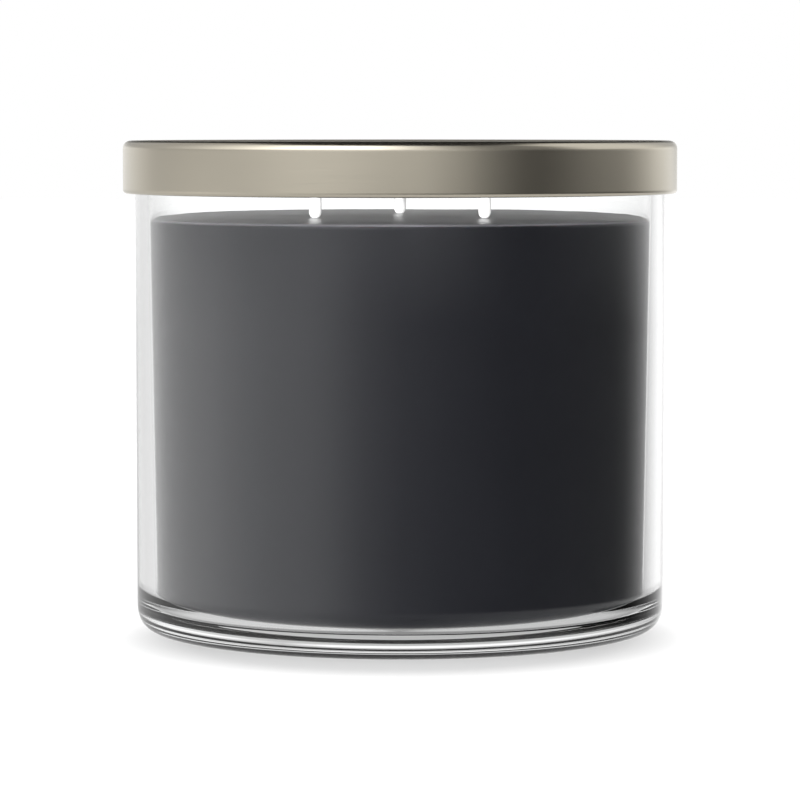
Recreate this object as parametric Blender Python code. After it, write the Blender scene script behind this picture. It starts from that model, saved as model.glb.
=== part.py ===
"""Three-wick candle in a clear glass jar with a press-on metal lid.

Metres, +Z up. The origin is the centre of the jar's foot, on the surface it stands on.
Every turned piece is built around +Z, which is also the axis the lid lifts and turns on.
"""
from math import copysign, cos, pi, radians, sin

import bmesh
import bpy
from mathutils import Vector

MM = 0.001
SEGMENTS = 64
SMALL_SEGMENTS = 16
SHARP_ANGLE = radians(35)
GAP = 0.3 * MM

# jar
JAR_RADIUS = 48.6 * MM
JAR_HEIGHT = 87.0 * MM
JAR_FOOT_CORNER = (4.05 * MM, 5.0 * MM)
FOOT_FULLNESS = 2.4
JAR_BASE_THICKNESS = 4.15 * MM
JAR_BORE_AT_FLOOR = 45.15 * MM
JAR_BORE_AT_RIM = 46.3 * MM
JAR_INNER_CORNER = (3.0 * MM, 4.0 * MM)
FOOT_RING_INNER = 40.0 * MM
UNDERSIDE_DOME = 0.6 * MM
DOME_STEPS = 8

# wax and wicks
WAX_TOP = 76.0 * MM
WAX_RIM_ROUND = 1.0 * MM
WICK_RADIUS = 1.15 * MM
WICK_ROOT_RADIUS = 0.95 * MM
WICK_BORE = 0.6 * MM
WICK_TOP = 85.0 * MM
WICK_CIRCLE = 17.7 * MM
WICK_ANGLES = {"left": 210, "right": 330, "rear": 90}
PAD_RADIUS = 7.0 * MM
PAD_THICKNESS = 0.9 * MM
SUSTAINER_RADIUS = 8.0 * MM
SUSTAINER_SHEET = 0.35 * MM
SUSTAINER_NECK = 6.0 * MM

# lid
LID_RADIUS = 50.8 * MM
LID_TOP = 89.7 * MM
LID_HEIGHT = 9.6 * MM
LID_SHEET = 0.5 * MM
LID_EDGE_ROUND = 1.45 * MM
HEM_RADIUS = 0.65 * MM
PLUG_RADIUS = 44.4 * MM
PLUG_WALL = 1.8 * MM
PLUG_DEPTH = 5.7 * MM
PLUG_LIP = (0.8 * MM, 0.6 * MM)
SEAL_RADIUS = 46.0 * MM
SEAL_BODY = 0.7 * MM
SEAL_FINS = 3

# base label
LABEL_RADIUS = 10.0 * MM
LABEL_THICKNESS = 0.15 * MM

JAR_FLOOR = JAR_BASE_THICKNESS
WAX_BOTTOM = JAR_FLOOR + GAP
PAD_BOTTOM = JAR_FLOOR + GAP
SUSTAINER_BOTTOM = PAD_BOTTOM + PAD_THICKNESS + GAP
WICK_BOTTOM = SUSTAINER_BOTTOM + SUSTAINER_SHEET
LID_BOTTOM = LID_TOP - LID_HEIGHT
INSERT_TOP = LID_TOP - LID_SHEET - GAP
INSERT_UNDERSIDE = JAR_HEIGHT + GAP


def clear_scene():
    for old in list(bpy.data.objects):
        bpy.data.objects.remove(old, do_unlink=True)


def arc(centre, radii, start, end, steps, fullness=2.0):
    """(r, z) points on an elliptical arc from start to end, in degrees from the +r direction.

    A fullness over 2 pushes the arc out towards the corner of its box.
    """
    points = []
    for i in range(steps + 1):
        angle = radians(start + (end - start) * i / steps)
        across = copysign(abs(cos(angle)) ** (2 / fullness), cos(angle))
        up = copysign(abs(sin(angle)) ** (2 / fullness), sin(angle))
        points.append((centre[0] + radii[0] * across, centre[1] + radii[1] * up))
    return points


def material(name, color, roughness, metallic=0.0, transmission=0.0):
    made = bpy.data.materials.new(name)
    made.use_nodes = True
    made.diffuse_color = (*color, 1.0)
    shader = made.node_tree.nodes["Principled BSDF"]
    shader.inputs["Base Color"].default_value = (*color, 1.0)
    shader.inputs["Roughness"].default_value = roughness
    shader.inputs["Metallic"].default_value = metallic
    shader.inputs["Transmission Weight"].default_value = transmission
    return made


def turned(name, profile, finish, at=(0.0, 0.0, 0.0), ring=False, segments=SEGMENTS):
    """Turn an (r, z) profile about +Z through `at`, from the top down its outer side.

    An open profile is capped flat at both ends; a ring profile closes on itself.
    """
    mesh = bmesh.new()
    rows = []
    for r, z in profile:
        row = []
        for i in range(segments):
            angle = 2 * pi * i / segments
            row.append(mesh.verts.new((r * cos(angle), r * sin(angle), z - at[2])))
        rows.append(row)
    pairs = list(zip(rows, rows[1:]))
    if ring:
        pairs.append((rows[-1], rows[0]))
    else:
        mesh.faces.new(rows[0])
        mesh.faces.new(reversed(rows[-1]))
    for upper, lower in pairs:
        for i in range(segments):
            j = (i + 1) % segments
            mesh.faces.new((upper[i], lower[i], lower[j], upper[j]))
    data = bpy.data.meshes.new(name)
    mesh.to_mesh(data)
    mesh.free()
    data.materials.append(finish)
    data.shade_smooth()
    data.set_sharp_from_angle(angle=SHARP_ANGLE)
    piece = bpy.data.objects.new(name, data)
    piece.location = at
    bpy.context.scene.collection.objects.link(piece)
    return piece


def bore_radius(z):
    """Inner radius of the jar's drafted wall at height z."""
    low = JAR_FLOOR + JAR_INNER_CORNER[1]
    share = (z - low) / (JAR_HEIGHT - low)
    return JAR_BORE_AT_FLOOR + (JAR_BORE_AT_RIM - JAR_BORE_AT_FLOOR) * share


def underside(r):
    """Height of the shallow dome under the jar, inside its foot ring."""
    return UNDERSIDE_DOME * (1 + cos(pi * r / FOOT_RING_INNER)) / 2


def glass_jar():
    rim_round = (JAR_RADIUS - JAR_BORE_AT_RIM) / 2
    rim = (JAR_RADIUS - rim_round, JAR_HEIGHT - rim_round)
    corner = JAR_INNER_CORNER
    corner_centre = (JAR_BORE_AT_FLOOR - corner[0], JAR_FLOOR + corner[1])
    foot = JAR_FOOT_CORNER
    profile = arc(corner_centre, corner, -90, 0, 5)
    profile += arc(rim, (rim_round, rim_round), 180, 0, 6)
    profile += arc((JAR_RADIUS - foot[0], foot[1]), foot, 0, -90, 8, FOOT_FULLNESS)
    for i in range(DOME_STEPS):
        r = FOOT_RING_INNER * (1 - i / DOME_STEPS)
        profile.append((r, underside(r)))
    return turned("glass_jar", profile, material("jar_glass", (0.95, 0.96, 0.96), 0.02, 0.0, 1.0))


def wick_place(angle):
    return Vector((WICK_CIRCLE * cos(radians(angle)), WICK_CIRCLE * sin(radians(angle)), 0.0))


def wick_channel(side, place):
    """Stepped cutter that clears the pad, the sustainer and the wick through the wax."""
    disc_top = SUSTAINER_BOTTOM + SUSTAINER_SHEET
    neck_top = disc_top + SUSTAINER_NECK
    wick = WICK_ROOT_RADIUS + GAP
    neck = wick + SUSTAINER_SHEET + GAP
    disc = SUSTAINER_RADIUS + GAP
    profile = [
        (wick, WAX_TOP + GAP),
        (wick, neck_top + GAP),
        (neck, neck_top + GAP),
        (neck, disc_top + GAP),
        (disc, disc_top + GAP),
        (disc, WAX_BOTTOM - GAP),
    ]
    cutter = turned(
        f"channel_{side}", profile, bpy.data.materials["wax_charcoal"], place, segments=SMALL_SEGMENTS * 2
    )
    cutter.hide_render = True
    cutter.display_type = "WIRE"
    return cutter


def wax_fill():
    top_radius = bore_radius(WAX_TOP) - GAP
    corner = (JAR_INNER_CORNER[0] - GAP, JAR_INNER_CORNER[1] - GAP)
    corner_centre = (JAR_BORE_AT_FLOOR - JAR_INNER_CORNER[0], JAR_FLOOR + JAR_INNER_CORNER[1])
    rim = (top_radius - WAX_RIM_ROUND, WAX_TOP - WAX_RIM_ROUND)
    profile = arc(rim, (WAX_RIM_ROUND, WAX_RIM_ROUND), 90, 0, 3)
    profile += arc(corner_centre, corner, 0, -90, 5)
    wax = turned("wax_fill", profile, material("wax_charcoal", (0.045, 0.044, 0.048), 0.45))
    for side, angle in WICK_ANGLES.items():
        cut = wax.modifiers.new(f"channel_{side}", "BOOLEAN")
        cut.operation = "DIFFERENCE"
        cut.solver = "EXACT"
        cut.object = wick_channel(side, wick_place(angle))
    return wax


def wick(side, place, finish):
    """Braid that is plump above the wax and rounds in to a thinner root just over it."""
    plump = WICK_RADIUS - WICK_ROOT_RADIUS
    root_top = WAX_TOP + GAP
    profile = [
        (WICK_BORE, WICK_TOP),
        (WICK_RADIUS - GAP, WICK_TOP),
        (WICK_RADIUS, WICK_TOP - GAP),
        (WICK_RADIUS, root_top + 2 * plump),
        (WICK_ROOT_RADIUS, root_top),
        (WICK_ROOT_RADIUS, WICK_BOTTOM),
        (WICK_BORE, WICK_BOTTOM),
    ]
    return turned(f"wick_{side}", profile, finish, place, ring=True, segments=SMALL_SEGMENTS)


def wick_core(side, place, finish):
    radius = WICK_BORE - 0.8 * GAP
    profile = [(radius, WICK_TOP - GAP), (radius, WICK_BOTTOM)]
    return turned(f"wick_core_{side}", profile, finish, place, segments=SMALL_SEGMENTS // 2)


def sustainer(side, place, finish):
    """Stamped disc with a neck that is crimped on the wick."""
    hole = WICK_ROOT_RADIUS + GAP
    neck = hole + SUSTAINER_SHEET
    disc_top = SUSTAINER_BOTTOM + SUSTAINER_SHEET
    profile = [
        (hole, disc_top + SUSTAINER_NECK),
        (neck, disc_top + SUSTAINER_NECK),
        (neck, disc_top),
        (SUSTAINER_RADIUS, disc_top),
        (SUSTAINER_RADIUS, SUSTAINER_BOTTOM),
        (hole, SUSTAINER_BOTTOM),
    ]
    return turned(f"sustainer_{side}", profile, finish, place, ring=True, segments=SMALL_SEGMENTS * 2)


def wick_pad(side, place, finish):
    profile = [(PAD_RADIUS, PAD_BOTTOM + PAD_THICKNESS), (PAD_RADIUS, PAD_BOTTOM)]
    return turned(f"wick_pad_{side}", profile, finish, place, segments=SMALL_SEGMENTS * 2)


def wicks():
    cotton = material("wick_cotton", (0.88, 0.87, 0.84), 0.85)
    paper = material("wick_core_paper", (0.80, 0.77, 0.70), 0.9)
    steel = material("sustainer_steel", (0.62, 0.62, 0.61), 0.35, 1.0)
    foam = material("pad_foam", (0.82, 0.82, 0.80), 0.8)
    for side, angle in WICK_ANGLES.items():
        place = wick_place(angle)
        wick(side, place, cotton)
        wick_core(side, place, paper)
        sustainer(side, place, steel)
        wick_pad(side, place, foam)


def lid_shell():
    """Drawn cap: flat top, small edge radius, plain skirt and a hem rolled inwards."""
    inner_round = LID_EDGE_ROUND - LID_SHEET
    edge = (LID_RADIUS - LID_EDGE_ROUND, LID_TOP - LID_EDGE_ROUND)
    hem = (LID_RADIUS - HEM_RADIUS, LID_BOTTOM + HEM_RADIUS)
    profile = arc(edge, (LID_EDGE_ROUND, LID_EDGE_ROUND), 90, 0, 5)
    profile += arc(hem, (HEM_RADIUS, HEM_RADIUS), 0, -255, 8)
    profile += arc(edge, (inner_round, inner_round), 0, 90, 3)
    at = (0.0, 0.0, LID_BOTTOM)
    return turned("lid_shell", profile, material("lid_metal", (0.66, 0.63, 0.56), 0.3, 1.0), at)


def lid_insert():
    """Disc that fills the shell over the jar's rim, with a plug skirt that carries the seal."""
    flange = LID_RADIUS - LID_SHEET - 2 * GAP
    chamfer = LID_EDGE_ROUND - LID_SHEET - GAP
    plug_bottom = INSERT_UNDERSIDE - PLUG_DEPTH
    lip_radius = PLUG_RADIUS + PLUG_LIP[0]
    lip_top = plug_bottom + PLUG_LIP[1]
    inner = PLUG_RADIUS - PLUG_WALL
    profile = [
        (flange - chamfer, INSERT_TOP),
        (flange, INSERT_TOP - chamfer),
        (flange, INSERT_UNDERSIDE),
        (PLUG_RADIUS, INSERT_UNDERSIDE),
        (PLUG_RADIUS, lip_top + PLUG_LIP[1] / 2),
        (lip_radius, lip_top),
        (lip_radius, plug_bottom + PLUG_LIP[1] / 2),
        (lip_radius - PLUG_LIP[1] / 2, plug_bottom),
        (inner, plug_bottom),
        (inner, INSERT_UNDERSIDE - PLUG_WALL / 2),
        (inner - PLUG_WALL / 2, INSERT_UNDERSIDE),
    ]
    at = (0.0, 0.0, LID_BOTTOM)
    return turned("lid_insert", profile, material("lid_plastic", (0.85, 0.85, 0.83), 0.45), at)


def lid_seal():
    """Ring of soft fins around the plug; at rest each fin tip just clears the jar's bore."""
    inner = PLUG_RADIUS + GAP
    body = inner + SEAL_BODY
    top = INSERT_UNDERSIDE - GAP
    bottom = INSERT_UNDERSIDE - PLUG_DEPTH + 1.5 * PLUG_LIP[1] + GAP
    pitch = (top - bottom) / SEAL_FINS
    profile = [(inner, top)]
    for i in range(SEAL_FINS):
        root = top - i * pitch
        profile += [
            (body, root),
            (SEAL_RADIUS, root - 0.15 * pitch),
            (SEAL_RADIUS, root - 0.4 * pitch),
            (body, root - 0.55 * pitch),
        ]
    profile += [(body, bottom), (inner, bottom)]
    at = (0.0, 0.0, LID_BOTTOM)
    finish = material("seal_silicone", (0.80, 0.81, 0.80), 0.5)
    return turned("lid_seal", profile, finish, at, ring=True)


def base_label():
    top = underside(LABEL_RADIUS) - GAP
    profile = [(LABEL_RADIUS, top), (LABEL_RADIUS, top - LABEL_THICKNESS)]
    return turned("base_label", profile, material("label_paper", (0.86, 0.86, 0.85), 0.7))


clear_scene()
glass_jar()
wax_fill()
wicks()
lid_shell()
lid_insert()
lid_seal()
base_label()
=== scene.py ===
from math import copysign, cos, exp, hypot, pi, radians, sin

import bmesh
import bpy
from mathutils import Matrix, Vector, noise


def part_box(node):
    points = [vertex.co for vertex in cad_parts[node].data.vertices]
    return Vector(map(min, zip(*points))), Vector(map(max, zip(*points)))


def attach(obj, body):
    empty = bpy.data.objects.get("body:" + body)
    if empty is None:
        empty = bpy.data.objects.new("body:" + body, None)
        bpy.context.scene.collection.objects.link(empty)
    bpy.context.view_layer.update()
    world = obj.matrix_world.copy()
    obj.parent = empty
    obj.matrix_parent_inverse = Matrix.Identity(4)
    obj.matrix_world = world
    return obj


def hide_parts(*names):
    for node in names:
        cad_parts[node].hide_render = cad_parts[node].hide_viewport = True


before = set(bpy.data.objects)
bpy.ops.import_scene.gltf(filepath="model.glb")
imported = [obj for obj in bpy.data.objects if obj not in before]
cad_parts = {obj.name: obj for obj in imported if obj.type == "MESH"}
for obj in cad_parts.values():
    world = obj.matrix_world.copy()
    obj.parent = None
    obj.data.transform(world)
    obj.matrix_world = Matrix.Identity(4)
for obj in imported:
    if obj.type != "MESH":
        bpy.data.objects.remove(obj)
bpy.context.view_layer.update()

MM = 0.001

# camera, in metres and degrees: a long lens a little above the lid, looking slightly down
CAMERA_DISTANCE = 0.7003
CAMERA_HEIGHT = 0.0926
CAMERA_TILT = 4.139
CAMERA_LENS = 171.2

# turned pieces: a long straight run gets a point this near to both of its ends
SEGMENTS = 256
SHARP_ANGLE = radians(40)
HOLD = 0.25 * MM
LONG_RUN = 6 * HOLD

# pieces' places, from the frame
JAR_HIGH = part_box("glass_jar")[1]
WAX_LOW, WAX_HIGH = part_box("wax_fill")
LID_LOW, LID_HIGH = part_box("lid_shell")
INSERT_LOW, INSERT_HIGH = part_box("lid_insert")
SEAL_LOW, SEAL_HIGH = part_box("lid_seal")
LABEL_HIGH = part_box("base_label")[1]
JAR_RADIUS, JAR_TOP = JAR_HIGH.x, JAR_HIGH.z
WAX_RADIUS, WAX_TOP, WAX_BOTTOM = WAX_HIGH.x, WAX_HIGH.z, WAX_LOW.z
LID_RADIUS, LID_TOP, LID_BOTTOM = LID_HIGH.x, LID_HIGH.z, LID_LOW.z

GAP = 0.3 * MM
WICKS = ("left", "right", "rear")


# ---------------------------------------------------------------- shapes

def arc(centre, radii, start, end, steps, fullness=2.0):
    """(r, z) points on an elliptical arc from start to end, in degrees from the +r direction.

    A fullness over 2 pushes the arc out towards the corner of its box.
    """
    points = []
    for i in range(steps + 1):
        angle = radians(start + (end - start) * i / steps)
        across = copysign(abs(cos(angle)) ** (2 / fullness), cos(angle))
        up = copysign(abs(sin(angle)) ** (2 / fullness), sin(angle))
        points.append((centre[0] + radii[0] * across, centre[1] + radii[1] * up))
    return points


def new_piece(name, mesh, body, node, finish):
    """An object from the mesh that rides on the body and stands in for the CAD node."""
    data = bpy.data.meshes.new(name)
    mesh.to_mesh(data)
    mesh.free()
    data.materials.append(finish)
    data.shade_smooth()
    data.set_sharp_from_angle(angle=SHARP_ANGLE)
    piece = bpy.data.objects.new(name, data)
    bpy.context.scene.collection.objects.link(piece)
    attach(piece, body)
    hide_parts(node)
    return piece


def held(profile):
    """The profile with a point near both ends of each long run, to keep smooth shading at the bends."""
    points = [profile[0]]
    for start, end in zip(profile, profile[1:]):
        run = hypot(end[0] - start[0], end[1] - start[1])
        if run > LONG_RUN:
            for share in (HOLD / run, 1 - HOLD / run):
                points.append(tuple(a + (b - a) * share for a, b in zip(start, end)))
        points.append(end)
    return points


def turn(mesh, profile, centre=(0.0, 0.0), ring=False, segments=SEGMENTS):
    """Turn an (r, z) profile, top to bottom down its outer side, about the vertical through centre.

    A profile that starts or ends at r = 0 is closed there by a fan; a ring profile closes on itself.
    """
    rows = []
    for r, z in held(profile + profile[:1] if ring else profile):
        count = segments if r > 0 else 1
        row = []
        for i in range(count):
            angle = 2 * pi * i / segments
            row.append(mesh.verts.new((centre[0] + r * cos(angle), centre[1] + r * sin(angle), z)))
        rows.append(row)
    if ring:
        bmesh.ops.delete(mesh, geom=rows.pop(), context="VERTS")
        rows.append(rows[0])
    for upper, lower in zip(rows, rows[1:]):
        for i in range(segments):
            j = (i + 1) % segments
            ends = [(upper, i), (lower, i), (lower, j), (upper, j)]
            mesh.faces.new(list(dict.fromkeys(row[k % len(row)] for row, k in ends)))
    return rows


# ---------------------------------------------------------------- materials

class Nodes:
    """A small builder over one node tree."""

    def __init__(self, owner):
        owner.use_nodes = True
        self.tree = owner.node_tree

    def new(self, kind, **values):
        node = self.tree.nodes.new(kind)
        for key, value in values.items():
            setattr(node, key, value)
        return node

    def link(self, source, target):
        self.tree.links.new(source, target)

    def put(self, value, socket):
        """Set the socket to a number, or link an output to it."""
        if isinstance(value, (int, float)):
            socket.default_value = value
        else:
            self.link(value, socket)

    def math(self, operation, a, b=0.0, c=0.0, clamp=False):
        node = self.new("ShaderNodeMath", operation=operation, use_clamp=clamp)
        for value, socket in zip((a, b, c), node.inputs):
            self.put(value, socket)
        return node.outputs[0]

    def ramp(self, value, stops):
        """Grey levels, in straight runs between places along 0 to 1."""
        node = self.new("ShaderNodeValToRGB")
        elements = node.color_ramp.elements
        while len(elements) < len(stops):
            elements.new(0.5)
        for element, (place, level) in zip(elements, stops):
            element.position = place
            element.color = (level, level, level, 1.0)
        self.link(value, node.inputs[0])
        return node.outputs[0]

    def noise(self, vector, scale, detail=2.0, roughness=0.5):
        node = self.new("ShaderNodeTexNoise")
        node.inputs["Scale"].default_value = scale
        node.inputs["Detail"].default_value = detail
        node.inputs["Roughness"].default_value = roughness
        self.link(vector, node.inputs["Vector"])
        return node.outputs["Fac"]

    def object_place(self, scale=(1.0, 1.0, 1.0)):
        """The place on the object, stretched along its axes."""
        place = self.new("ShaderNodeTexCoord")
        mapping = self.new("ShaderNodeMapping")
        mapping.inputs["Scale"].default_value = scale
        self.link(place.outputs["Object"], mapping.inputs["Vector"])
        return mapping.outputs["Vector"]

    def mix(self, factor, a, b):
        """A colour from a at factor 0 to b at factor 1."""
        node = self.new("ShaderNodeMix", data_type="RGBA")
        self.put(factor, node.inputs["Factor"])
        for value, socket in ((a, node.inputs[6]), (b, node.inputs[7])):
            if isinstance(value, tuple):
                socket.default_value = (*value, 1.0)
            else:
                self.link(value, socket)
        return node.outputs[2]

    def span(self, value, low, high):
        """A value from 0 to 1, spread from low to high."""
        node = self.new("ShaderNodeMapRange")
        self.link(value, node.inputs["Value"])
        node.inputs["To Min"].default_value = low
        node.inputs["To Max"].default_value = high
        return node.outputs["Result"]

    def bump(self, height, strength, distance):
        node = self.new("ShaderNodeBump")
        node.inputs["Strength"].default_value = strength
        node.inputs["Distance"].default_value = distance
        self.link(height, node.inputs["Height"])
        return node.outputs["Normal"]


def principled(name, **values):
    """A new material with its nodes and its shader, whose sockets take the values."""
    finish = bpy.data.materials.new(name)
    nodes = Nodes(finish)
    shader = nodes.tree.nodes["Principled BSDF"]
    for key, value in values.items():
        socket = shader.inputs[key.replace("_", " ")]
        socket.default_value = (*value, 1.0) if isinstance(value, tuple) else value
    return finish, nodes, shader


def clear_glass():
    """Glass with the slow waves of a pressed wall."""
    finish, nodes, shader = principled(
        "clear_glass", Base_Color=(1.0, 1.0, 1.0), Roughness=0.0, IOR=1.5, Transmission_Weight=1.0
    )
    waves = nodes.noise(nodes.object_place((1.0, 1.0, 0.35)), 55.0, 1.0)
    nodes.link(nodes.bump(waves, 0.2, 0.02 * MM), shader.inputs["Normal"])
    tint = nodes.noise(nodes.object_place(), 12.0, 2.0)
    nodes.link(nodes.mix(tint, (1.0, 1.0, 1.0), (0.985, 0.992, 0.99)), shader.inputs["Base Color"])
    return finish


# the wax's open top is painted much lighter, partly frosting and partly painted light and reflection,
# and made smoother; this sets in this far under the CAD's level, over a short depth
LIGHTER_TOP_START = 0.98 * MM
LIGHTER_TOP_DEPTH = 0.25 * MM
FROST_ROUGHNESS = -0.12


def charcoal_wax():
    """Dark wax with faint clouds and streaks; its open surface is smoother and painted much lighter,
    partly frosting and partly painted light and reflection.
    """
    finish, nodes, shader = principled("charcoal_wax", IOR=1.44, Specular_Tint=(0.93, 0.955, 1.0))
    place = nodes.object_place()
    cloud = nodes.noise(place, 45.0, 4.0, 0.6)
    streaks = nodes.noise(nodes.object_place((0.35, 1.6, 1.0)), 70.0, 3.0, 0.55)
    tone = nodes.math("MULTIPLY_ADD", streaks, 0.5, nodes.math("MULTIPLY", cloud, 0.5))
    deep = nodes.mix(tone, (0.002, 0.0021, 0.0032), (0.004, 0.0041, 0.0058))
    # painted light: the open top's colour stands for lamp light and grazing reflection, over a little
    # frosting
    frost_and_painted_light = nodes.mix(tone, (0.04, 0.0387, 0.0445), (0.16, 0.155, 0.172))
    parts = nodes.new("ShaderNodeSeparateXYZ")
    nodes.link(place, parts.inputs[0])
    rise = nodes.math("SUBTRACT", parts.outputs[2], WAX_TOP - LIGHTER_TOP_START)
    on_top = nodes.math("DIVIDE", rise, LIGHTER_TOP_DEPTH, clamp=True)
    # the top takes the painted light colour; the sides and foot take the dark body colour
    nodes.link(nodes.mix(on_top, deep, frost_and_painted_light), shader.inputs["Base Color"])
    matt = nodes.span(tone, 0.4, 0.46)
    nodes.link(nodes.math("MULTIPLY_ADD", on_top, FROST_ROUGHNESS, matt), shader.inputs["Roughness"])
    nodes.link(nodes.bump(nodes.noise(place, 35.0, 1.0), 0.05, 0.05 * MM), shader.inputs["Normal"])
    return finish


FLAT_TOP_MARGIN = 0.0005 * MM
FLAT_TOP_ROUGHNESS = 0.42


def champagne_metal():
    """Satin sheet with a hair-fine brushing round its skirt and a duller flat top."""
    finish, nodes, shader = principled("champagne_metal", Metallic=1.0)
    place = nodes.object_place()
    parts = nodes.new("ShaderNodeSeparateXYZ")
    nodes.link(place, parts.inputs[0])
    lines = nodes.noise(nodes.object_place((1.0, 1.0, 40.0)), 90.0, 3.0, 0.6)
    cloud = nodes.noise(nodes.object_place((1.0, 1.0, 0.4)), 30.0, 2.0, 0.5)
    nodes.link(nodes.mix(cloud, (0.54, 0.5, 0.413), (0.57, 0.525, 0.43)), shader.inputs["Base Color"])
    flat = nodes.math("GREATER_THAN", parts.outputs[2], LID_TOP - FLAT_TOP_MARGIN)
    dull = nodes.math("MULTIPLY", flat, FLAT_TOP_ROUGHNESS)
    skirt = nodes.span(lines, 0.2, 0.25)
    nodes.link(nodes.math("MAXIMUM", skirt, dull), shader.inputs["Roughness"])
    nodes.link(nodes.bump(lines, 0.1, 0.004 * MM), shader.inputs["Normal"])
    return finish


def white_cotton():
    finish, nodes, shader = principled("white_cotton", Roughness=0.8, Sheen_Weight=0.3)
    place = nodes.object_place((1.0, 1.0, 0.3))
    fibres = nodes.noise(place, 2600.0, 3.0, 0.7)
    nodes.link(nodes.mix(fibres, (0.72, 0.72, 0.712), (0.8, 0.8, 0.795)), shader.inputs["Base Color"])
    nodes.link(nodes.bump(fibres, 0.3, 0.05 * MM), shader.inputs["Normal"])
    return finish


def paper_core():
    finish, nodes, shader = principled("paper_core", Roughness=0.9)
    twist = nodes.noise(nodes.object_place((1.0, 1.0, 0.2)), 3000.0, 2.0)
    nodes.link(nodes.mix(twist, (0.72, 0.69, 0.62), (0.84, 0.81, 0.75)), shader.inputs["Base Color"])
    nodes.link(nodes.bump(twist, 0.4, 0.03 * MM), shader.inputs["Normal"])
    return finish


def stamped_steel():
    finish, nodes, shader = principled("stamped_steel", Metallic=1.0)
    grain = nodes.noise(nodes.object_place((1.0, 12.0, 1.0)), 400.0, 3.0)
    nodes.link(nodes.mix(grain, (0.56, 0.56, 0.55), (0.66, 0.66, 0.65)), shader.inputs["Base Color"])
    nodes.link(nodes.span(grain, 0.28, 0.42), shader.inputs["Roughness"])
    nodes.link(nodes.bump(grain, 0.15, 0.01 * MM), shader.inputs["Normal"])
    return finish


def foam_pad():
    finish, nodes, shader = principled("foam_pad", Roughness=0.85)
    cells = nodes.new("ShaderNodeTexVoronoi")
    cells.inputs["Scale"].default_value = 2500.0
    nodes.link(nodes.object_place(), cells.inputs["Vector"])
    depth = cells.outputs["Distance"]
    # painted shade: the colour darkens into each cell's pit, where the bump sinks
    nodes.link(nodes.mix(depth, (0.7, 0.7, 0.68), (0.86, 0.86, 0.84)), shader.inputs["Base Color"])
    nodes.link(nodes.bump(depth, 0.6, 0.1 * MM), shader.inputs["Normal"])
    return finish


def moulded_plastic():
    finish, nodes, shader = principled("moulded_plastic", IOR=1.49)
    grain = nodes.noise(nodes.object_place(), 1400.0, 3.0, 0.6)
    cloud = nodes.noise(nodes.object_place(), 35.0, 2.0)
    nodes.link(nodes.mix(cloud, (0.8, 0.8, 0.78), (0.86, 0.86, 0.84)), shader.inputs["Base Color"])
    nodes.link(nodes.span(grain, 0.36, 0.52), shader.inputs["Roughness"])
    nodes.link(nodes.bump(grain, 0.2, 0.02 * MM), shader.inputs["Normal"])
    return finish


def milky_silicone():
    finish, nodes, shader = principled(
        "milky_silicone", IOR=1.41, Subsurface_Weight=0.35, Subsurface_Scale=0.8 * MM
    )
    cloud = nodes.noise(nodes.object_place(), 120.0, 3.0)
    nodes.link(nodes.mix(cloud, (0.76, 0.77, 0.77), (0.84, 0.85, 0.85)), shader.inputs["Base Color"])
    nodes.link(nodes.span(cloud, 0.4, 0.55), shader.inputs["Roughness"])
    nodes.link(nodes.bump(cloud, 0.1, 0.02 * MM), shader.inputs["Normal"])
    return finish


def label_paper():
    finish, nodes, shader = principled("label_paper", Roughness=0.7)
    fibres = nodes.noise(nodes.object_place((1.0, 3.0, 1.0)), 900.0, 4.0, 0.7)
    nodes.link(nodes.mix(fibres, (0.82, 0.82, 0.81), (0.89, 0.89, 0.88)), shader.inputs["Base Color"])
    nodes.link(nodes.bump(fibres, 0.25, 0.01 * MM), shader.inputs["Normal"])
    return finish


# ---------------------------------------------------------------- pieces

BASE_THICKNESS = WAX_BOTTOM - GAP
BORE_AT_FLOOR = 45.15 * MM
BORE_AT_RIM = 46.3 * MM
INNER_CORNER = (3.0 * MM, 4.0 * MM)
FOOT_CORNER = (4.05 * MM, 5.0 * MM)
FOOT_FULLNESS = 2.4
FOOT_RING_INNER = 40.0 * MM
UNDERSIDE_DOME = 0.6 * MM
DOME_STEPS = 24


def underside(r):
    """Height of the shallow dome under the jar, inside its foot ring."""
    return UNDERSIDE_DOME * (1 + cos(pi * r / FOOT_RING_INNER)) / 2


def glass_jar(finish):
    """Glass from the middle of its floor up the bore, over the rim and down to the foot and dome."""
    rim_round = (JAR_RADIUS - BORE_AT_RIM) / 2
    rim = (JAR_RADIUS - rim_round, JAR_TOP - rim_round)
    corner = (BORE_AT_FLOOR - INNER_CORNER[0], BASE_THICKNESS + INNER_CORNER[1])
    foot = (JAR_RADIUS - FOOT_CORNER[0], FOOT_CORNER[1])
    profile = [(0.0, BASE_THICKNESS)]
    profile += arc(corner, INNER_CORNER, -90, 0, 16)
    profile += arc(rim, (rim_round, rim_round), 180, 0, 16)
    profile += arc(foot, FOOT_CORNER, 0, -90, 32, FOOT_FULLNESS)
    for i in range(DOME_STEPS + 1):
        r = FOOT_RING_INNER * (1 - i / DOME_STEPS)
        profile.append((r, underside(r)))
    mesh = bmesh.new()
    turn(mesh, profile)
    jar = new_piece("clear_jar", mesh, "jar", "glass_jar", finish)
    # clear glass lets the lamps and the soft light through
    jar.visible_diffuse = False
    jar.visible_shadow = False
    return jar


def wick_centre(side):
    low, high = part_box(f"wick_{side}")
    return (low.x + high.x) / 2, (low.y + high.y) / 2


WICK_CENTRES = [wick_centre(side) for side in WICKS]


WAX_RIM_ROUND = 1.4 * MM
TOP_RINGS = 90
SEEP = 0.24 * MM
# the surface under the CAD's level, and its waves and climbs; a climb fades over its reach
TOP_SINK = 0.6 * MM
TOP_RELIEF = 0.12 * MM
WALL_CLIMB = 0.08 * MM
WALL_REACH = 1.2 * MM
WICK_CLIMB = 0.1 * MM
WICK_EDGE = 0.5 * MM
WICK_REACH = 0.7 * MM
# waves per metre across and along the surface, and the fine waves' share of the slow ones
SLOW_WAVES = (40, 90)
FINE_WAVES = (130, 260)
FINE_SHARE = 0.4


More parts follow.
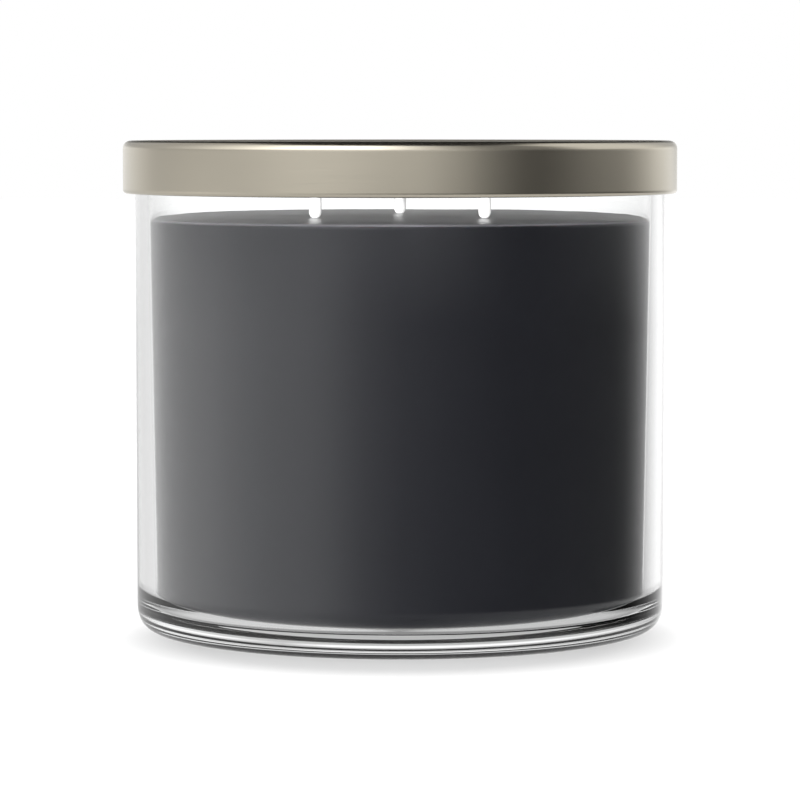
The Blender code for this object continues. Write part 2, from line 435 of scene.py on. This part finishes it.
def wax_relief(x, y):
    """How far the wax surface stands off its level: a climb at the wall and wicks, and slow waves."""
    r = hypot(x, y)
    lift = WALL_CLIMB * exp(-(WAX_RADIUS - WAX_RIM_ROUND - r) / WALL_REACH)
    for at_x, at_y in WICK_CENTRES:
        away = max(hypot(x - at_x, y - at_y) - WICK_EDGE, 0.0)
        lift += WICK_CLIMB * exp(-away / WICK_REACH)
    slow = noise.noise(Vector((x * SLOW_WAVES[0], y * SLOW_WAVES[1], 0.3)))
    fine = noise.noise(Vector((x * FINE_WAVES[0], y * FINE_WAVES[1], 1.7)))
    return lift + TOP_RELIEF * (slow + FINE_SHARE * fine) - TOP_SINK


def wax(finish):
    """The wax, with many rings on top for its relief; its rounded foot lies on the jar's floor."""
    corner = (INNER_CORNER[0] - GAP, INNER_CORNER[1] - SEEP)
    rim = (WAX_RADIUS - WAX_RIM_ROUND, WAX_TOP - WAX_RIM_ROUND)
    foot = (BORE_AT_FLOOR - INNER_CORNER[0], BASE_THICKNESS + INNER_CORNER[1])
    profile = [(rim[0] * i / TOP_RINGS, WAX_TOP) for i in range(TOP_RINGS)]
    profile += arc(rim, (WAX_RIM_ROUND, WAX_RIM_ROUND), 90, 0, 10)
    profile += arc(foot, corner, 0, -90, 12)
    profile += [(0.0, BASE_THICKNESS + SEEP)]
    mesh = bmesh.new()
    turn(mesh, profile)
    for vert in mesh.verts:
        sunk = (WAX_TOP - vert.co.z) / WAX_RIM_ROUND
        if sunk < 1.0:
            vert.co.z += (1 - sunk) * wax_relief(vert.co.x, vert.co.y)
    return new_piece("poured_wax", mesh, "jar", "wax_fill", finish)


WICK_SEGMENTS = 64
WICK_STEP = 0.09 * MM
WICK_ROOT = 0.45 * MM
WICK_ROOT_RISE = 0.06 * MM
WICK_BORE = 0.38 * MM
WICK_BORE_REACH = 0.1 * MM
WICK_END_ROUND = 0.3 * MM
BRAID_STRANDS = 4
BRAID_PITCH = 3.6 * MM
BRAID_DEPTH = 0.07 * MM


def wick_radius(z, high, plump):
    """Outer radius of the wick: rounded in over the wax, and softly rounded at its cut end."""
    root = WAX_TOP - TOP_SINK + WICK_ROOT_RISE
    above = (z - root) / plump
    if above < 0:
        return WICK_ROOT
    swell = (1 - (1 - min(above, 1.0)) ** 2) ** 0.5
    radius = WICK_ROOT + (plump - WICK_ROOT) * swell
    into_end = max(z - (high - WICK_END_ROUND), 0.0) / WICK_END_ROUND
    return radius - WICK_END_ROUND * (1 - (1 - into_end ** 2) ** 0.5)


def braid(angle, z):
    """Depth of the plaited strands under the wick's outer radius, 0 to 1."""
    turn_z = 2 * pi * z / BRAID_PITCH
    one = abs(sin((BRAID_STRANDS * angle + turn_z) / 2))
    other = abs(sin((BRAID_STRANDS * angle - turn_z) / 2))
    over = 0.5 + 0.5 * sin(BRAID_STRANDS * angle) * sin(turn_z)
    return 1 - max(one * (0.55 + 0.45 * over), other * (1 - 0.45 * over)) ** 0.6


def wick(side, finish):
    """A hollow braided cord round its core, with the strands pressed into its outer wall."""
    low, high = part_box(f"wick_{side}")
    x, y = wick_centre(side)
    plump = (high.x - low.x) / 2
    count = int((high.z - low.z) / WICK_STEP)
    heights = [high.z - (high.z - low.z) * i / count for i in range(count + 1)]
    profile = [(WICK_BORE, low.z), (WICK_BORE, high.z - WICK_BORE_REACH)]
    profile += [(wick_radius(z, high.z, plump), z) for z in heights]
    mesh = bmesh.new()
    rows = turn(mesh, profile, (x, y), ring=True, segments=WICK_SEGMENTS)
    for row in rows:
        for i, vert in enumerate(row):
            across, along = vert.co.x - x, vert.co.y - y
            radius = hypot(across, along)
            if radius < WICK_BORE * 1.05:
                continue
            sunk = BRAID_DEPTH * braid(2 * pi * i / WICK_SEGMENTS, vert.co.z)
            vert.co.x = x + across * (radius - sunk) / radius
            vert.co.y = y + along * (radius - sunk) / radius
    return new_piece(f"braided_wick_{side}", mesh, "jar", f"wick_{side}", finish)


LID_EDGE_ROUND = 1.45 * MM
LID_SHEET = 0.5 * MM
HEM_RADIUS = 0.65 * MM
HEM_CURL = 255


def lid(finish):
    """Drawn sheet with a rounded top edge and a hem curled in at the foot of its skirt."""
    inner_round = LID_EDGE_ROUND - LID_SHEET
    edge = (LID_RADIUS - LID_EDGE_ROUND, LID_TOP - LID_EDGE_ROUND)
    hem = (LID_RADIUS - HEM_RADIUS, LID_BOTTOM + HEM_RADIUS)
    profile = [(0.0, LID_TOP)]
    profile += arc(edge, (LID_EDGE_ROUND, LID_EDGE_ROUND), 90, 0, 16)
    profile += arc(hem, (HEM_RADIUS, HEM_RADIUS), 0, -HEM_CURL, 24)
    profile += arc(edge, (inner_round, inner_round), 0, 90, 8)
    profile += [(0.0, LID_TOP - LID_SHEET)]
    mesh = bmesh.new()
    turn(mesh, profile)
    return new_piece("metal_lid", mesh, "lid", "lid_shell", finish)


PLUG_RADIUS = 44.4 * MM
PLUG_WALL = 1.8 * MM
PLUG_LIP = 0.8 * MM
PLUG_LIP_RISE = 0.6 * MM
PLUG_ROUND = 0.3 * MM
PLUG_FILLET = 0.9 * MM
INSERT_STEP = JAR_TOP + GAP
FLANGE_CHAMFER = 0.65 * MM
# stiffening rings and the moulding gate's pip, under the disc
RING_RADII = (30.0 * MM, 12.0 * MM)
RING_FOOT = 0.6 * MM
RING_CREST = 0.4 * MM
RING_HEIGHT = 0.35 * MM
PIP_RADIUS = 1.2 * MM
PIP_HEIGHT = 0.25 * MM


def insert(finish):
    """Moulded disc with a plug skirt and stiffening rings on its underside."""
    flange = INSERT_HIGH.x
    inner = PLUG_RADIUS - PLUG_WALL
    lip = (PLUG_RADIUS + PLUG_LIP - PLUG_ROUND, INSERT_LOW.z + PLUG_ROUND)
    fillet = (inner - PLUG_FILLET, INSERT_STEP - PLUG_FILLET)
    crest = INSERT_STEP - RING_HEIGHT
    profile = [(0.0, INSERT_HIGH.z), (flange - FLANGE_CHAMFER, INSERT_HIGH.z)]
    profile += [(flange, INSERT_HIGH.z - FLANGE_CHAMFER)]
    profile += [(flange, INSERT_STEP), (PLUG_RADIUS, INSERT_STEP)]
    profile += [(PLUG_RADIUS, lip[1] + PLUG_LIP_RISE)]
    profile += arc(lip, (PLUG_ROUND, PLUG_ROUND), 45, -90, 8)
    profile += arc((inner + PLUG_ROUND, lip[1]), (PLUG_ROUND, PLUG_ROUND), 270, 180, 6)
    profile += arc(fillet, (PLUG_FILLET, PLUG_FILLET), 0, 90, 8)
    for radius in RING_RADII:
        profile += [(radius + RING_FOOT, INSERT_STEP), (radius + RING_CREST, crest)]
        profile += [(radius - RING_CREST, crest), (radius - RING_FOOT, INSERT_STEP)]
    profile += arc((0.0, INSERT_STEP), (PIP_RADIUS, PIP_HEIGHT), 0, -90, 6)
    mesh = bmesh.new()
    turn(mesh, profile)
    return new_piece("lid_plug", mesh, "lid", "lid_insert", finish)


SEAL_BODY = 0.7 * MM
SEAL_FINS = 3
# a fin's places under its root, in shares of the fins' pitch, and its fillets
FIN_FILLET_OVER = 0.15 * MM
FIN_FILLET_UNDER = 0.12 * MM
FIN_OVER = 0.1
FIN_DROOP = 0.15
FIN_TIP = 0.125
FIN_UNDER = 0.45
FIN_FOOT = 0.6


def seal(finish):
    """Silicone ring with three thin fins that droop a little and end in rounded tips."""
    inner = PLUG_RADIUS + GAP
    body = inner + SEAL_BODY
    pitch = (SEAL_HIGH.z - SEAL_LOW.z) / SEAL_FINS
    tip = FIN_TIP * pitch
    profile = [(inner, SEAL_HIGH.z)]
    for i in range(SEAL_FINS):
        root = SEAL_HIGH.z - i * pitch
        end = (SEAL_HIGH.x - tip, root - FIN_DROOP * pitch - tip)
        profile += [(body, root), (body + FIN_FILLET_OVER, root - FIN_OVER * pitch)]
        profile += arc(end, (tip, tip), 80, -80, 8)
        profile += [(body + FIN_FILLET_UNDER, root - FIN_UNDER * pitch)]
        profile += [(body, root - FIN_FOOT * pitch)]
    profile += [(body, SEAL_LOW.z), (inner, SEAL_LOW.z)]
    mesh = bmesh.new()
    turn(mesh, profile, ring=True)
    return new_piece("fin_seal", mesh, "seal", "lid_seal", finish)


LABEL_STEPS = 12
LABEL_GAP = 0.12 * MM
LABEL_SHEET = 0.1 * MM


def label(finish):
    """Blank round sticker that follows the dome under the jar."""
    edge = LABEL_HIGH.x
    upper = []
    lower = []
    for i in range(LABEL_STEPS + 1):
        r = edge * i / LABEL_STEPS
        upper.append((r, underside(r) - LABEL_GAP))
        lower.append((r, underside(r) - LABEL_GAP - LABEL_SHEET))
    mesh = bmesh.new()
    turn(mesh, upper + lower[::-1])
    return new_piece("round_label", mesh, "jar", "base_label", finish)


# ---------------------------------------------------------------- studio

CAMERA_WHITE = (1.0, 1.0, 1.0)
SKY_LIGHT = (0.78, 0.78, 0.78)
FLOOR_GLOSS = (0.75, 0.75, 0.75)
CEILING_DARK = (0.03, 0.03, 0.03)
# elevations, in degrees, where one part of the surround starts to pass into the next, and how far
HORIZON = (-3.0, 3.0)
SOFTBOX_FOOT = (3.0, 6.0)
FLOOR_EDGE = (-10.0, -8.0)
CEILING_FADE = 8.0
CEILING_THROUGH_GLASS = 56.0
# (azimuth, level) stops round the studio: a bright wall at the left, a dark flag at the right
FLOOR_THROUGH_GLASS = [
    (-180, 0.28), (-160, 0.32), (-135, 0.65), (-60, 0.65), (-15, 0.3), (15, 0.3), (60, 0.6), (135, 0.6),
    (160, 0.32), (180, 0.28),
]
LOW_SURROUND = [
    (-180, 1.2), (-170, 1.2), (-163, 0.8), (-120, 0.8), (-90, 1.05), (-60, 0.8), (-38, 0.65),
    (-16, 0.27), (0, 0.12), (20, 0.06), (50, 0.03), (110, 0.04), (120, 0.1), (135, 0.4), (150, 0.9),
    (163, 1.3), (180, 1.2),
]
HIGH_SURROUND = [
    (-180, 1.3), (-163, 1.1), (-140, 0.95), (-120, 0.55), (-90, 0.45), (-60, 0.5), (-42, 0.6),
    (-25, 0.75), (-8, 0.75), (8, 1.05), (25, 0.75), (33, 0.45), (40, 0.3), (51, 0.1), (60, 0.08),
    (81, 0.25), (105, 0.45), (131, 1.2), (150, 1.15), (163, 0.6), (171, 1.2), (180, 1.3),
]
SOFTBOXES = [
    (-180, 0.5), (-150, 0.55), (-120, 0.6), (-95, 0.9), (-70, 1.5), (-45, 2.8), (-12, 2.8), (5, 1.3),
    (22, 0.6), (40, 0.25), (68, 0.25), (85, 1.0), (125, 1.0), (150, 0.6), (180, 0.5),
]
# (azimuth, elevation) stops of the ceiling's edge
CEILING = [(-180, 3), (-168, 6), (-155, 28), (-135, 56), (135, 56), (155, 28), (168, 6), (180, 3)]


def around(nodes, turn_share, stops, scale=1.0):
    """A value that runs round the studio through (azimuth, value) stops; 0 faces the jar's front."""
    places = [((azimuth + 180) / 360, value / scale) for azimuth, value in stops]
    return nodes.math("MULTIPLY", nodes.ramp(turn_share, places), scale)


def studio_world():
    """White for the camera, soft fill, and softboxes and flags that only gloss and glass show."""
    world = bpy.data.worlds.new("studio")
    world.cycles.sampling_method = "NONE"
    bpy.context.scene.world = world
    nodes = Nodes(world)
    background = nodes.tree.nodes["Background"]
    direction = nodes.new("ShaderNodeTexCoord").outputs["Generated"]
    parts = nodes.new("ShaderNodeSeparateXYZ")
    nodes.link(direction, parts.inputs[0])
    x, y, z = parts.outputs
    turn_share = nodes.math("DIVIDE", nodes.math("ARCTAN2", x, nodes.math("MULTIPLY", y, -1.0)), 2 * pi)
    turn_share = nodes.math("ADD", turn_share, 0.5)
    rise = nodes.math("MULTIPLY", nodes.math("ARCSINE", z), 180 / pi)

    def past(start, width):
        """From 0 to 1 as the elevation goes from start through the width."""
        return nodes.math("DIVIDE", nodes.math("SUBTRACT", rise, start), width, clamp=True)

    low = around(nodes, turn_share, LOW_SURROUND)
    seen = nodes.mix(past(*HORIZON), low, around(nodes, turn_share, HIGH_SURROUND))
    seen = nodes.mix(past(*SOFTBOX_FOOT), seen, around(nodes, turn_share, SOFTBOXES))
    path = nodes.new("ShaderNodeLightPath")
    through_glass = path.outputs["Is Transmission Ray"]
    below = around(nodes, turn_share, FLOOR_THROUGH_GLASS)
    below = nodes.mix(through_glass, FLOOR_GLOSS, below)
    seen = nodes.mix(past(*FLOOR_EDGE), seen, below)
    raised = nodes.math("MULTIPLY", through_glass, CEILING_THROUGH_GLASS)
    ceiling = nodes.math("MAXIMUM", around(nodes, turn_share, CEILING, 90.0), raised)
    seen = nodes.mix(past(ceiling, CEILING_FADE), seen, CEILING_DARK)
    lit = nodes.mix(path.outputs["Is Diffuse Ray"], seen, SKY_LIGHT)
    shown = nodes.mix(path.outputs["Is Camera Ray"], lit, CAMERA_WHITE)
    nodes.link(shown, background.inputs["Color"])


def lamp(name, kind, place, aim, energy, **values):
    """A studio lamp that only diffuse surfaces show."""
    data = bpy.data.lights.new(name, kind)
    data.energy = energy
    for key, value in values.items():
        setattr(data, key, value)
    made = bpy.data.objects.new(name, data)
    made.location = place
    made.rotation_euler = (Vector(aim) - Vector(place)).to_track_quat("-Z", "Y").to_euler()
    made.visible_camera = False
    made.visible_glossy = False
    made.visible_transmission = False
    bpy.context.scene.collection.objects.link(made)


# the overhead lamp stands a little behind, so the shadow falls forward; the strip lights the front
OVERHEAD_PLACE = (0.0, 0.21, 1.0)
OVERHEAD_STRENGTH = 2.35
OVERHEAD_ANGLE = radians(15)
STRIP_PLACE = (-0.5, -1.5, 0.15)
STRIP_AIM = (0.0, 0.0, 0.15)
STRIP_POWER = 90.0
STRIP_SHAPE = {"shape": "RECTANGLE", "size": 2.0, "size_y": 0.16}


def studio_lamps():
    lamp("overhead", "SUN", OVERHEAD_PLACE, (0.0, 0.0, 0.0), OVERHEAD_STRENGTH, angle=OVERHEAD_ANGLE)
    lamp("low_strip", "AREA", STRIP_PLACE, STRIP_AIM, STRIP_POWER, **STRIP_SHAPE)


FLOOR_SIZE = 8.0
FLOOR_PAINT = (0.83, 0.83, 0.83)


def floor():
    """A pale matt floor, which gloss and glass see as the studio's own surround."""
    bpy.ops.mesh.primitive_plane_add(size=FLOOR_SIZE)
    plane = bpy.context.object
    plane.name = "floor"
    finish, nodes, shader = principled("floor_paint", Base_Color=FLOOR_PAINT, Roughness=1.0)
    shader.inputs["Specular IOR Level"].default_value = 0.0
    plane.data.materials.append(finish)
    plane.visible_glossy = False
    plane.visible_transmission = False


def camera():
    data = bpy.data.cameras.new("camera")
    data.lens = CAMERA_LENS
    data.sensor_width = 36.0
    made = bpy.data.objects.new("camera", data)
    made.location = (0.0, -CAMERA_DISTANCE, CAMERA_HEIGHT)
    made.rotation_euler = (radians(90 - CAMERA_TILT), 0.0, 0.0)
    bpy.context.scene.collection.objects.link(made)
    bpy.context.scene.camera = made


def dress(prefix, finish):
    """Give a kept piece beside each wick its finish."""
    for side in WICKS:
        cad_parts[f"{prefix}_{side}"].data.materials[0] = finish


glass_jar(clear_glass())
wax(charcoal_wax())
metal_lid = lid(champagne_metal())
metal_lid.visible_shadow = False
insert(moulded_plastic())
seal(milky_silicone())
label(label_paper())
cotton = white_cotton()
for wick_side in WICKS:
    wick(wick_side, cotton)
dress("wick_core", paper_core())
dress("sustainer", stamped_steel())
dress("wick_pad", foam_pad())
studio_world()
studio_lamps()
floor()
camera()
bpy.context.scene.view_settings.view_transform = "Standard"
